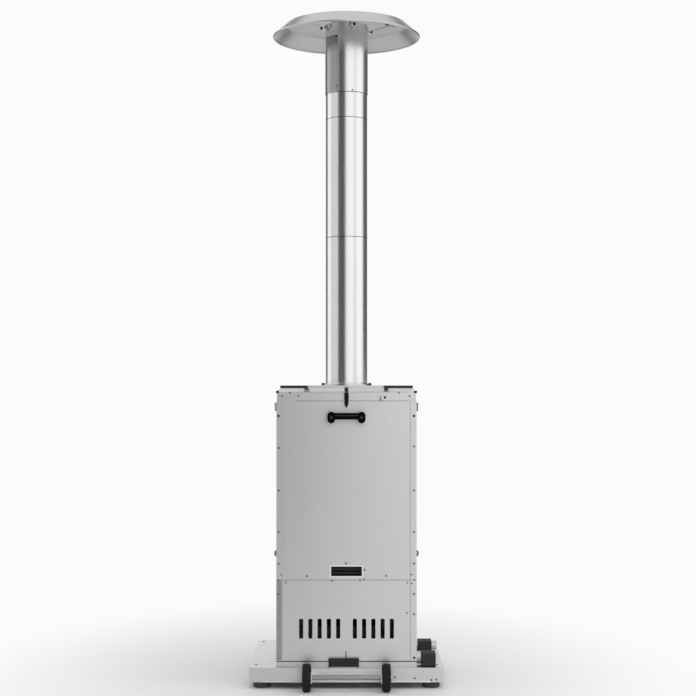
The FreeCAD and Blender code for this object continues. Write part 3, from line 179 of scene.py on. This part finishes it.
def make_finishes():
    """One finish for each material slot of the part, and a few more for single pieces."""
    upright = (600, 600, 9)
    pipe = (grey(0.70, 0.006), grey(0.75, 0.006))
    pipe_clouds = (4, 4, 3)
    dull = 0.12
    return {
        "cabinet_steel": finish_of("brushed_sheet", (grey(0.65, 0.012), grey(0.71, 0.012)), (0.34, 0.46), upright,
                                   (3, 3, 2), metallic=1.0, relief=0.05, edge=0.6 * MILLIMETRE),
        "flue_steel": finish_of("polished_pipe", pipe, (0.18, 0.26), upright, pipe_clouds, metallic=1.0, relief=0.03),
        # The head's seam strip in a darker grey: a real strip, its colour partly painted shade.
        "flue_head": finish_of("head_sleeve", pipe, (0.20, 0.28), upright, pipe_clouds, metallic=1.0, relief=0.03,
                               tone=(seam_strip_shade_tone, grey(0.33))),
        "hat_sheet": finish_of("spun_sheet", (grey(0.53, 0.01), grey(0.59, 0.01)), (0.26, 0.36), even(200),
                               pipe_clouds, metallic=1.0, relief=0.03),
        "hardware_steel": finish_of("zinc_plate", (grey(0.56, 0.01), grey(0.66, 0.01)), (0.28, 0.42), even(900),
                                    even(40), metallic=1.0),
        # A darker copy of the zinc plate for the axle tube, painted shade of the recess under the tray, and a lighter
        # copy for the axle's back plate, painted light against that shade.
        "shaded_axle_tube": finish_of("shaded_axle_tube", (grey(0.32), grey(0.40)), (0.30, 0.42), even(900), even(40),
                               metallic=1.0),
        "lit_axle_plate": finish_of("lit_axle_plate", (grey(0.92), grey(0.97)), (0.42, 0.55), even(700), even(20),
                                metallic=1.0),
        # A light steel, for the grip's bezel and for the tray's lip, where it is a painted highlight.
        "bright_trim": finish_of("bright_trim", (grey(0.90), grey(0.95)), (0.40, 0.50), even(800), even(30),
                                 metallic=1.0),
        # A dark grey sheet for the strip over the lower left post: painted shade.
        "painted_shade_strip": finish_of("painted_shade_strip", (grey(0.36), grey(0.42)), (0.34, 0.46), upright, (20, 20, 6),
                                 metallic=1.0, relief=0.05),
        # Darker steel for the darker screws, rivets, nuts and small fittings, and painted shade on the right handle's
        # bail, which is the same part as the lighter left one.
        "dark_steel_and_shade": finish_of("dark_steel_and_shade", (grey(0.16), grey(0.26)), (0.35, 0.50), even(900), even(60),
                                metallic=1.0),
        # Near-black, for the thin lines of painted shade in the front's seams.
        "painted_seam_shade": finish_of("painted_seam_shade", (grey(0.03), grey(0.05)), (0.55, 0.75), even(900), even(60), shine=dull),
        "black_plastic": finish_of("moulded_black", (grey(0.005), grey(0.010)), (0.36, 0.50), even(1500), even(25),
                                   relief=0.25, edge=0.8 * MILLIMETRE, shine=dull),
        "handle_black": finish_of("handle_black", (grey(0.0015), grey(0.003)), (0.40, 0.55), even(1500), even(25),
                                  relief=0.25, edge=0.8 * MILLIMETRE, shine=0.03),
        "lid_enamel": finish_of("lid_enamel", (grey(0.035), grey(0.055)), (0.40, 0.55), even(1100), even(30),
                                relief=0.2, edge=0.5 * MILLIMETRE, shine=dull),
        "black_steel": finish_of("black_enamel", (grey(0.006), grey(0.012)), (0.34, 0.48), even(1100), even(30),
                                 relief=0.2, edge=0.5 * MILLIMETRE, shine=dull),
        "foot_rubber": finish_of("foot_rubber", (grey(0.06), grey(0.085)), (0.62, 0.80), even(1400), even(30),
                                 relief=0.35, shine=dull),
        "pad_rubber": finish_of("pad_rubber", (grey(0.032), grey(0.048)), (0.55, 0.75), even(1200), even(40),
                                relief=0.4, edge=1.0 * MILLIMETRE, shine=dull),
        "tyre_rubber": finish_of("tyre_rubber", (grey(0.013), grey(0.023)), (0.55, 0.75), even(1300), even(35),
                                 relief=0.4, edge=1.0 * MILLIMETRE, shine=dull),
        "heat_steel": finish_of("heat_paint", (grey(0.010, 0.03), grey(0.022, 0.05)), (0.55, 0.75), even(500),
                                even(12), relief=0.3, shine=dull),
        "pot_iron": finish_of("cast_iron", (grey(0.020, 0.04), grey(0.045, 0.08)), (0.60, 0.82), even(350), even(20),
                              relief=0.6, shine=dull),
    }


FINISHES = make_finishes()
OWN_FINISH = {
    # axle_spacer is darker and axle_bracket lighter than the zinc hardware: painted shade and painted light in the
    # recess under the tray.
    "chimney_head": "flue_head", "hat": "hat_sheet", "hat_straps": "hat_sheet", "axle_spacer": "shaded_axle_tube",
    "axle_bracket": "lit_axle_plate", "latch_bail": "black_steel", "latch_keeper": "black_steel",
    # right_handle_bail is darker than left_handle_bail: painted shade.
    "left_handle_bail": "hardware_steel", "right_handle_bail": "dark_steel_and_shade", "grip_bezel": "bright_trim",
    "tilt_handle": "handle_black", "left_fill_lid": "lid_enamel", "right_fill_lid": "lid_enamel",
    "grip_cup": "pad_rubber", "front_air_lever": "pad_rubber", "rear_air_lever": "pad_rubber",
}


def dress_nodes():
    """Each CAD node gets the finish of its material slot, or one of its own."""
    for name, node in NODES.items():
        node.data.materials.clear()
        node.data.materials.append(FINISHES[OWN_FINISH.get(name, SLOT_OF[name])])


class Form:
    """A mesh put together from turned and bevelled shapes."""

    def __init__(self):
        self.mesh = bmesh.new()

    def turn(self, profile, centre, axis, segments=20):
        """Turn a profile of (radius, distance along the axis) about an axis through the centre."""
        frame_turn = Vector(axis).to_track_quat("Z", "Y").to_matrix()
        rings = []
        for radius, along in profile:
            count = segments if radius > 0 else 1
            ring = []
            for step in range(count):
                angle = 2 * math.pi * step / count
                offset = Vector((radius * math.cos(angle), radius * math.sin(angle), along))
                ring.append(self.mesh.verts.new(Vector(centre) + frame_turn @ offset))
            rings.append(ring)
        for low, high in zip(rings, rings[1:]):
            for step in range(segments):
                corners = [low[step % len(low)], low[(step + 1) % len(low)],
                           high[(step + 1) % len(high)], high[step % len(high)]]
                self.mesh.faces.new(list(dict.fromkeys(corners)))

    def block(self, low, high, bevel, segments=2):
        """A block with every edge bevelled."""
        made = bmesh.ops.create_cube(self.mesh, size=1.0)
        low, high = Vector(low), Vector(high)
        size = high - low
        for vertex in made["verts"]:
            scaled = Vector(a * b for a, b in zip(vertex.co, size))
            vertex.co = (low + high) / 2 + scaled
        edges = {edge for vertex in made["verts"] for edge in vertex.link_edges}
        bmesh.ops.bevel(self.mesh, geom=list(edges), offset=bevel, segments=segments, profile=0.5, affect="EDGES")

    def finish(self, name, slot, finish=None, body="heater", sharp=35):
        """The mesh as a named piece on a body; edges that turn by more than sharp degrees stay crisp."""
        bmesh.ops.recalc_face_normals(self.mesh, faces=self.mesh.faces[:])
        data = bpy.data.meshes.new(name)
        self.mesh.to_mesh(data)
        self.mesh.free()
        piece = bpy.data.objects.new(name, data)
        bpy.context.scene.collection.objects.link(piece)
        data.materials.append(FINISHES[finish or slot])
        data.shade_smooth()
        data.set_sharp_from_angle(angle=math.radians(sharp))
        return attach(piece, body)


class Screws(Form):
    """A set of like fasteners that share one piece."""

    def head(self, profile, spot, axis, radius, height, segments=20):
        """Turn a profile that is written in shares of the radius and the height."""
        scaled = [(r * radius * MILLIMETRE, h * height * MILLIMETRE) for r, h in profile]
        self.turn(scaled, mm(*spot), axis, segments)

    def pan(self, spot, axis, radius, height):
        """A domed head with a sunk recess."""
        profile = [(1.0, 0.0), (1.0, 0.35), (0.82, 0.75), (0.5, 1.0), (0.34, 0.95), (0.28, 0.45), (0.0, 0.45)]
        self.head(profile, spot, axis, radius, height)

    def hexagon(self, spot, axis, radius, height):
        """A six-sided head on a thin washer."""
        washer = [(1.35, 0.0), (1.35, 0.12), (1.25, 0.2), (0.9, 0.2)]
        nut = [(1.0, 0.2), (1.0, 0.85), (0.86, 1.0), (0.0, 1.0)]
        self.head(washer, spot, axis, radius, height, 24)
        self.head(nut, spot, axis, radius, height, 6)

    def dome(self, spot, axis, radius, height):
        """A cap nut: washer, six-sided foot and a domed end."""
        washer = [(1.0, 0.0), (1.0, 0.12), (0.8, 0.16)]
        foot = [(0.86, 0.16), (0.86, 0.45), (0.72, 0.52)]
        dome = [(0.7, 0.5), (0.66, 0.72), (0.48, 0.9), (0.22, 0.99), (0.0, 1.0)]
        self.head(washer, spot, axis, radius, height, 24)
        self.head(foot, spot, axis, radius, height, 6)
        self.head(dome, spot, axis, radius, height)


def add_sheet_screws():
    """Screws of the front panels, posts, base tray and cover band."""
    panel = Screws()
    for x, z in ((-128.6, 361), (-47, 346), (44, 348), (128.6, 362), (-2, 402.5), (59, 381)):
        panel.pan((x, PANEL_FRONT, z), FRONT, 3.4, 1.8)
    for x, z in ((56.5, 351), (-197, 340), (-211, 366), (197, 339), (211, 337), (210, 366), (-221, 349), (221, 349),
                 (196, 242), (-220, 96)):
        panel.pan((x, PANEL_FRONT, z), FRONT, 2.8, 1.5)
    for x, z in ((-208.5, 944.6), (-156, 944.6), (205, 944.6), (-184, 956), (171, 956)):
        panel.pan((x, BAND_FRONT, z), FRONT, 3.2, 1.8)
    panel.finish("front_panel_screws", "hardware_steel", "dark_steel_and_shade")
    posts = Screws()
    for x, levels in ((219, (781, 638, 504, 402, 303, 238)), (-220, (776, 638, 504, 401, 303))):
        for z in levels:
            posts.pan((x, PANEL_FRONT, z), FRONT, 3.6, 1.8)
            posts.pan((x, POST_BACK, z), BACK, 3.6, 1.8)
    posts.finish("post_screws", "hardware_steel", "dark_steel_and_shade")
    dark = Screws()
    for x, z in ((219, 880), (-221, 880), (219, 97)):
        dark.pan((x, PANEL_FRONT, z), FRONT, 4.0, 2.2)
    dark.finish("dark_screws", "black_steel")
    tray = Screws()
    for x in (-295, 295):
        for y in (-172, 290):
            tray.pan((x, y, TRAY_TOP), UP, 4.0, 2.0)
    for x, z in ((220, 34), (274, 29), (289.5, 30), (157, 38)):
        tray.pan((x, TRAY_FRONT, z), FRONT, 3.6, 1.8)
    tray.finish("tray_screws", "hardware_steel", "dark_steel_and_shade")


def around_flue(angle, radius, z):
    """A point on the flue and its outward direction, for an angle to the right of the front."""
    turn = math.radians(angle)
    axis = (math.sin(turn), -math.cos(turn), 0)
    return (radius * axis[0], FLUE_Y + radius * axis[1], z), axis


def add_flue_fasteners():
    """Flange bolts, foot bead, dark rings of painted shade at the pipe's joints, rivets of the head's seam, and bolts
    and nuts of the hat's straps.
    """
    round_segments = 96
    seam_angle = -28
    bolts = Screws()
    for x in (-79.5, 79.5):
        bolts.hexagon((x, FLUE_Y, FLANGE_TOP), UP, 5.4, 5.6)
    bolts.finish("flange_bolts", "black_steel")
    bead = Form()
    profile = [(70.4, 983.0), (73.6, 983.2), (74.2, 985.0), (73.4, 987.2), (70.4, 989.0)]
    bead.turn([(radius * MILLIMETRE, z * MILLIMETRE) for radius, z in profile], mm(0, FLUE_Y, 0), UP, round_segments)
    bead.finish("flue_foot_bead", "flue_steel")
    # Thin black rings at the pipe's joints: painted shade in the joint gaps.
    rings = Form()
    profile = [(-0.1, -1.0), (0.25, -0.7), (0.25, 0.7), (-0.1, 1.0)]
    for radius, z in ((PIPE_RADIUS, 1481), (PIPE_RADIUS, 1884), (SLEEVE_RADIUS, 1969)):
        section = [((radius + out) * MILLIMETRE, along * MILLIMETRE) for out, along in profile]
        rings.turn(section, mm(0, FLUE_Y, z), UP, round_segments)
    rings.finish("flue_joint_shade_rings", "black_steel")
    rivets = Screws()
    for z in (2142, 1989):
        rivets.pan(*around_flue(seam_angle, STRIP_RADIUS, z), 3.0, 1.4)
    rivets.pan(*around_flue(16, SLEEVE_RADIUS, 1974), 3.0, 1.4)
    rivets.finish("flue_rivets", "hardware_steel", "dark_steel_and_shade")
    straps = Screws()
    for angle in (17, 107, 197, 287):
        straps.pan(*around_flue(angle, 75.2, 2197), 4.4, 2.4)
        spot, _ = around_flue(angle, 89, 2193.2)
        straps.hexagon(spot, DOWN, 4.0, 5)
    straps.pan(*around_flue(seam_angle, STRIP_RADIUS, 2157), 4.0, 2.0)
    straps.finish("strap_bolts", "black_steel")


def add_cover_trim():
    """Corner bumpers of the cover, a black tab of painted shade behind the latch, and a small clip and a stop on the
    band.
    """
    bumpers = Form()
    half_width = 4.5
    for x in (-224.5, 224.5):
        for y in (-208.5, 240.5):
            bumpers.block(mm(x - half_width, y - half_width, 954), mm(x + half_width, y + half_width, 962),
                          1.6 * MILLIMETRE, 3)
    bumpers.finish("cover_bumpers", "black_plastic")
    # A black tab on the band behind the latch: painted shade behind the latch.
    tab = Form()
    tab.block(mm(-2.6, -211.3, 954.5), mm(2.6, -209.8, 961.0), 0.5 * MILLIMETRE)
    tab.finish("latch_shade_tab", "black_steel")
    clip = Form()
    clip.block(mm(108.5, -212, 930.5), mm(111.5, -209.5, 945.5), 0.6 * MILLIMETRE)
    clip.block(mm(108.5, -212, 930.5), mm(116, -209.5, 933.5), 0.6 * MILLIMETRE)
    clip.finish("band_clip", "hardware_steel", "dark_steel_and_shade")
    stop = Screws()
    stop.pan((125, BAND_FRONT, 940), FRONT, 4.0, 3.0)
    stop.finish("band_stop", "black_plastic")


def add_side_nuts():
    """A cap nut on each side wall."""
    nuts = Screws()
    for side in (-1, 1):
        nuts.dome((side * SIDE_WALL, FLUE_Y, 411), (side, 0, 0), 16, 18)
    nuts.finish("side_nuts", "hardware_steel", "dark_steel_and_shade")


def add_front_trim():
    """Bumper ribs, the strip above them, the tray's lip in a lighter finish that is a painted highlight, a dark strip
    of painted shade on the left post, and trim of the bar handle, partly painted highlight.
    """
    ribs = Form()
    for z in (75, 83, 91):
        ribs.block(mm(-53, -228.4, z - 1.3), mm(35, -226.4, z + 1.3), 0.6 * MILLIMETRE)
    ribs.finish("bumper_ribs", "pad_rubber")
    strip = Form()
    strip.block(mm(-3.6, -213.2, 95), mm(0.4, -211.2, 119), 0.6 * MILLIMETRE)
    strip.finish("bumper_strip", "hardware_steel", "dark_steel_and_shade")
    # The tray's lower lip is a real fold; its finish, lighter than the tray, is a painted highlight along the bottom
    # edge.
    lip = Form()
    lip.block(mm(-270, -230, 21), mm(271, -228.6, 25), 0.5 * MILLIMETRE)
    lip.finish("tray_lip_highlight", "cabinet_steel", "bright_trim", sharp=20)
    # A thin dark strip over the lower left post beside the vent panel: painted shade where the panel's edge falls in
    # shadow.
    joint = Form()
    joint.block(mm(-227.2, -212.3, 89), mm(-209.4, -211.3, 346.5), 0.3 * MILLIMETRE)
    joint.finish("left_post_shade_strip", "cabinet_steel", "painted_shade_strip", sharp=20)
    # A thin lighter rib along the bar handle: painted highlight where the rounded bar catches the light.
    rib = Form()
    rib.block(mm(-37, -254.3, 880), mm(37, -253, 883), 0.6 * MILLIMETRE)
    rib.finish("handle_highlight_rib", "black_plastic", "pad_rubber")
    # Lighter covers on the handle's end bosses: screw covers, their grey partly a painted highlight on the bosses.
    covers = Screws()
    for x in (-49, 49):
        covers.pan((x, -253.5, 876), FRONT, 5.0, 1.2)
    covers.finish("handle_covers_and_highlight", "pad_rubber")


def add_seam_shade_lines():
    """Thin dark lines of painted shade in the front's seams: under the posts, between the panels, at the right post
    and along the band.
    """
    dark_lines = Form()
    bevel = 0.2 * MILLIMETRE
    edge, deep, proud = 227.2, -210.6, -211.9
    for left, right in ((-edge, -190), (190, edge)):
        dark_lines.block(mm(left, proud, 84.0), mm(right, deep, 87.0), bevel)
    dark_lines.block(mm(-edge, proud, 347.4), mm(edge, deep, 348.6), bevel)
    dark_lines.block(mm(206.3, proud, 88), mm(207.1, deep, 928), bevel)
    for left, right in ((-165, -9), (9, 205)):
        dark_lines.block(mm(left, proud, 928.2), mm(right, deep + 1, 929.2), bevel)
        dark_lines.block(mm(left, -210.5, 957.4), mm(right, -209.6, 958.2), bevel)
    dark_lines.finish("seam_shade_lines", "black_plastic", "painted_seam_shade")


def aimed(obj, target):
    """Turn a lamp so that it faces a point."""
    obj.rotation_euler = (Vector(target) - obj.location).to_track_quat("-Z", "Y").to_euler()
    return obj


def add_softbox(name, azimuth, distance, height, size, radiance, target=(0, FLUE_Y * MILLIMETRE, 1.1)):
    """A soft lamp at an angle to the right of the camera's side, seen from the part's origin."""
    lamp = bpy.data.lights.new(name, "AREA")
    lamp.shape = "RECTANGLE"
    lamp.size, lamp.size_y = size
    lamp.energy = radiance * math.pi * size[0] * size[1]
    piece = bpy.data.objects.new(name, lamp)
    turn = math.radians(azimuth)
    piece.location = (distance * math.sin(turn), -distance * math.cos(turn), height)
    bpy.context.scene.collection.objects.link(piece)
    piece.visible_camera = False
    aimed(piece, target)
    return piece


def add_flag(name, azimuths, heights, level, distance=2.4):
    """A dull upright screen around the flue that only mirror-like surfaces see."""
    low, high = [math.radians(azimuth) for azimuth in azimuths]
    steps = 12
    rows = [[], []]
    for step in range(steps + 1):
        turn = low + (high - low) * step / steps
        for row, z in zip(rows, heights):
            row.append((distance * math.sin(turn), FLUE_Y * MILLIMETRE - distance * math.cos(turn), z))
    data = bpy.data.meshes.new(name)
    faces = [(k, k + 1, k + steps + 2, k + steps + 1) for k in range(steps)]
    data.from_pydata(rows[0] + rows[1], [], faces)
    material = bpy.data.materials.new(name)
    material.use_nodes = True
    tree = material.node_tree
    tree.nodes.clear()
    glow = add_node(tree, "ShaderNodeEmission")
    clouds = noise_on(tree, (0.4, 0.4, 0.3), detail=1.0)
    tree.links.new(blend(tree, clouds, grey(level * 0.85), grey(level * 1.15)), glow.inputs["Color"])
    out = add_node(tree, "ShaderNodeOutputMaterial")
    tree.links.new(glow.outputs["Emission"], out.inputs["Surface"])
    data.materials.append(material)
    piece = bpy.data.objects.new(name, data)
    bpy.context.scene.collection.objects.link(piece)
    piece.visible_camera = False
    piece.visible_diffuse = False
    piece.visible_shadow = False
    piece.visible_transmission = False
    piece.visible_volume_scatter = False


BACKDROP = 0.965
HORIZON_LIGHT = 0.45
ZENITH_LIGHT = 1.05


def make_world():
    """Soft light, stronger from above; straight and mirrored rays see a plain white room."""
    world = bpy.data.worlds.new("studio")
    bpy.context.scene.world = world
    world.use_nodes = True
    tree = world.node_tree
    tree.nodes.clear()
    path = add_node(tree, "ShaderNodeLightPath")
    seen = combine(tree, "MAXIMUM", path.outputs["Is Camera Ray"], path.outputs["Is Glossy Ray"])
    place = add_node(tree, "ShaderNodeTexCoord")
    parts = add_node(tree, "ShaderNodeSeparateXYZ")
    rise = add_node(tree, "ShaderNodeMapRange", {"To Min": HORIZON_LIGHT, "To Max": ZENITH_LIGHT})
    fill = add_node(tree, "ShaderNodeBackground", {"Color": grey(1.0)})
    room = add_node(tree, "ShaderNodeBackground", {"Color": grey(BACKDROP), "Strength": 1.0})
    mix = add_node(tree, "ShaderNodeMixShader")
    out = add_node(tree, "ShaderNodeOutputWorld")
    tree.links.new(place.outputs["Generated"], parts.inputs["Vector"])
    tree.links.new(parts.outputs["Z"], rise.inputs["Value"])
    tree.links.new(rise.outputs["Result"], fill.inputs["Strength"])
    tree.links.new(seen, mix.inputs["Fac"])
    tree.links.new(fill.outputs["Background"], mix.inputs[1])
    tree.links.new(room.outputs["Background"], mix.inputs[2])
    tree.links.new(mix.outputs["Shader"], out.inputs["Surface"])


FLOOR_REACH = 12.0
SHADOW_OVAL = {"Location": (0.09, -0.06, 0), "Scale": (1, 0.7, 1)}
SHADOW_FADE = {"From Min": 0.26, "From Max": 1.4}


def make_floor():
    """Pale floor that keeps the shadow near the heater and runs out into the white room."""
    data = bpy.data.meshes.new("studio_floor")
    corners = [(x * FLOOR_REACH, y * FLOOR_REACH, 0) for x, y in ((-1, -1), (1, -1), (1, 1), (-1, 1))]
    data.from_pydata(corners, [], [(0, 1, 2, 3)])
    material = bpy.data.materials.new("studio_floor")
    material.use_nodes = True
    tree = material.node_tree
    surface = tree.nodes["Principled BSDF"]
    out = tree.nodes["Material Output"]
    clouds = noise_on(tree, even(1.5))
    tree.links.new(blend(tree, clouds, grey(0.80), grey(0.84)), surface.inputs["Base Color"])
    surface.inputs["Roughness"].default_value = 0.6
    place = add_node(tree, "ShaderNodeTexCoord")
    oval = add_node(tree, "ShaderNodeMapping", SHADOW_OVAL)
    away = add_node(tree, "ShaderNodeVectorMath", operation="LENGTH")
    fade = add_node(tree, "ShaderNodeMapRange", SHADOW_FADE, interpolation_type="SMOOTHSTEP")
    path = add_node(tree, "ShaderNodeLightPath")
    share = combine(tree, "MULTIPLY", fade.outputs["Result"], path.outputs["Is Camera Ray"])
    glow = add_node(tree, "ShaderNodeEmission", {"Color": grey(BACKDROP)})
    mix = add_node(tree, "ShaderNodeMixShader")
    tree.links.new(place.outputs["Object"], oval.inputs["Vector"])
    tree.links.new(oval.outputs["Vector"], away.inputs[0])
    tree.links.new(away.outputs["Value"], fade.inputs["Value"])
    tree.links.new(share, mix.inputs["Fac"])
    tree.links.new(surface.outputs["BSDF"], mix.inputs[1])
    tree.links.new(glow.outputs["Emission"], mix.inputs[2])
    tree.links.new(mix.outputs["Shader"], out.inputs["Surface"])
    data.materials.append(material)
    piece = bpy.data.objects.new("studio_floor", data)
    bpy.context.scene.collection.objects.link(piece)


def make_studio():
    """White room with three soft lamps and a key lamp, and screens that shape the flue's reflections."""
    make_world()
    make_floor()
    add_softbox("right_softbox", azimuth=75, distance=3.2, height=1.7, size=(2.2, 3.0), radiance=0.33)
    add_softbox("front_softbox", azimuth=22, distance=3.0, height=1.8, size=(2.0, 3.0), radiance=0.28)
    add_softbox("left_softbox", azimuth=-114, distance=3.2, height=1.7, size=(1.9, 3.0), radiance=0.28)
    key = add_softbox("key_lamp", azimuth=62, distance=2.6, height=3.4, size=(1.2, 1.2), radiance=2.4,
                      target=(0, 0, 0.5))
    key.visible_glossy = False
    whole_height = (-0.2, 4.5)
    above_cabinet = (0.95, 4.5)
    add_flag("front_flag", (-47, -7), whole_height, level=0.10)
    add_flag("right_flag", (104, 160), above_cabinet, level=0.13)
    add_flag("left_flag", (-160, -126), above_cabinet, level=0.16)
    add_flag("side_flag", (-94, -54), whole_height, level=0.85)


def make_camera():
    """The camera that fits the tray, the cabinet and the hat of the photograph."""
    lens = bpy.data.cameras.new("photo_camera")
    lens.lens = 78.63
    lens.sensor_width = 36.0
    lens.sensor_fit = "HORIZONTAL"
    lens.shift_y = 0.03
    camera = bpy.data.objects.new("photo_camera", lens)
    camera.location = (0, -5.150, 0.9507)
    camera.rotation_euler = (math.radians(90.953), 0, math.radians(-0.0565))
    bpy.context.scene.collection.objects.link(camera)
    bpy.context.scene.camera = camera


dress_nodes()
add_sheet_screws()
add_flue_fasteners()
add_cover_trim()
add_side_nuts()
add_front_trim()
add_seam_shade_lines()
make_studio()
make_camera()
bpy.context.scene.view_settings.view_transform = "Standard"
